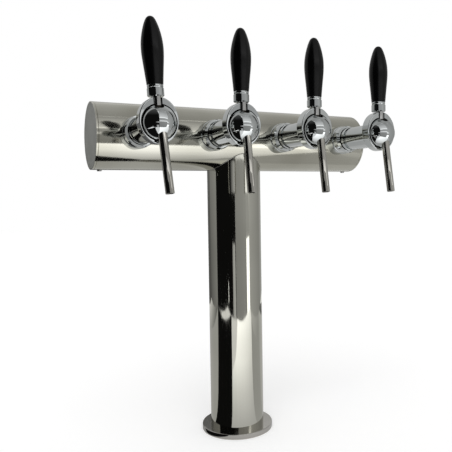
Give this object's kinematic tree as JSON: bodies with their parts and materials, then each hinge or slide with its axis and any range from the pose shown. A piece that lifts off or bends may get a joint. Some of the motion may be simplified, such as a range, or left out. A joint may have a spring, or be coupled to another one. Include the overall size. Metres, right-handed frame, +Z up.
{
  "type": "beer tower",
  "caption": "T-shaped beer tower: polished column on a round base flange, cross tube with a row of ball-head taps, black lever handles and slanted spouts.",
  "frame": {"origin": "centre of the base flange's underside, on the counter", "axes": "+Z up the column, +X along the cross tube, the taps point towards -Y"},
  "size_m": [0.465, 0.2567, 0.622],
  "materials": {
    "tower_steel": "mirror-polished stainless steel",
    "flange_steel": "polished stainless steel",
    "cap_steel": "satin grey end cap",
    "tap_chrome": "polished chrome plate on brass",
    "bright_steel": "polished stainless steel tube and rod",
    "plain_brass": "bare machined brass",
    "screw_steel": "bright screws and pins",
    "handle_black": "black satin plastic",
    "seal_rubber": "black rubber seal",
    "line_plastic": "milky beer line",
    "foam": "dark closed-cell insulation foam"
  },
  "bodies": {
    "tower": {"column_tube": "tower_steel", "tee_tube": "tower_steel", "base_flange": "flange_steel", "end_cap_left": "cap_steel", "end_cap_right": "cap_steel", "base_gasket": "seal_rubber", "shank_seals": "seal_rubber", "insulation_sleeve": "foam", "end_cap_screws": "screw_steel", "barrel_screws": "screw_steel", "lever_pins": "screw_steel", "beer_lines": "line_plastic", "lock_nuts": "plain_brass", "line_nuts": "plain_brass", "shank_1": "plain_brass", "saddle_ring_1": "tap_chrome", "coupling_nut_1": "tap_chrome", "tap_body_1": "tap_chrome", "ball_head_1": "tap_chrome", "spout_1": "bright_steel", "shank_2": "plain_brass", "saddle_ring_2": "tap_chrome", "coupling_nut_2": "tap_chrome", "tap_body_2": "tap_chrome", "ball_head_2": "tap_chrome", "spout_2": "bright_steel", "shank_3": "plain_brass", "saddle_ring_3": "tap_chrome", "coupling_nut_3": "tap_chrome", "tap_body_3": "tap_chrome", "ball_head_3": "tap_chrome", "spout_3": "bright_steel", "shank_4": "plain_brass", "saddle_ring_4": "tap_chrome", "coupling_nut_4": "tap_chrome", "tap_body_4": "tap_chrome", "ball_head_4": "tap_chrome", "spout_4": "bright_steel"},
    "lever_1": {"lever_1": "bright_steel", "ferrule_1": "tap_chrome", "handle_1": "handle_black"},
    "piston_1": {"piston_1": "plain_brass", "piston_seal_1": "seal_rubber"},
    "lever_2": {"lever_2": "bright_steel", "ferrule_2": "tap_chrome", "handle_2": "handle_black"},
    "piston_2": {"piston_2": "plain_brass", "piston_seal_2": "seal_rubber"},
    "lever_3": {"lever_3": "bright_steel", "ferrule_3": "tap_chrome", "handle_3": "handle_black"},
    "piston_3": {"piston_3": "plain_brass", "piston_seal_3": "seal_rubber"},
    "lever_4": {"lever_4": "bright_steel", "ferrule_4": "tap_chrome", "handle_4": "handle_black"},
    "piston_4": {"piston_4": "plain_brass", "piston_seal_4": "seal_rubber"}
  },
  "joints": [
    {"name": "lever_1_swing", "type": "hinge", "parent": "tower", "child": "lever_1", "pos_m": [-0.17792, -0.1665, 0.50097], "axis": [0.9983, 0, 0.0576], "range_deg": [0, 25]},
    {"name": "piston_1_slide", "type": "slide", "parent": "tower", "child": "piston_1", "axis": [0, 1, 0], "range_m": [0, 0.0068]},
    {"name": "lever_2_swing", "type": "hinge", "parent": "tower", "child": "lever_2", "pos_m": [-0.059, -0.1665, 0.501], "axis": [1, 0, 0], "range_deg": [0, 25]},
    {"name": "piston_2_slide", "type": "slide", "parent": "tower", "child": "piston_2", "axis": [0, 1, 0], "range_m": [0, 0.0068]},
    {"name": "lever_3_swing", "type": "hinge", "parent": "tower", "child": "lever_3", "pos_m": [0.059, -0.1665, 0.501], "axis": [1, 0, 0], "range_deg": [0, 25]},
    {"name": "piston_3_slide", "type": "slide", "parent": "tower", "child": "piston_3", "axis": [0, 1, 0], "range_m": [0, 0.0068]},
    {"name": "lever_4_swing", "type": "hinge", "parent": "tower", "child": "lever_4", "pos_m": [0.177, -0.1665, 0.501], "axis": [1, 0, 0], "range_deg": [0, 25]},
    {"name": "piston_4_slide", "type": "slide", "parent": "tower", "child": "piston_4", "axis": [0, 1, 0], "range_m": [0, 0.0068]}
  ],
  "couplings": [
    {"joint": "piston_1_slide", "follows": "lever_1_swing", "m_per_rad": 0.0155},
    {"joint": "piston_2_slide", "follows": "lever_2_swing", "m_per_rad": 0.0155},
    {"joint": "piston_3_slide", "follows": "lever_3_swing", "m_per_rad": 0.0155},
    {"joint": "piston_4_slide", "follows": "lever_4_swing", "m_per_rad": 0.0155}
  ]
}
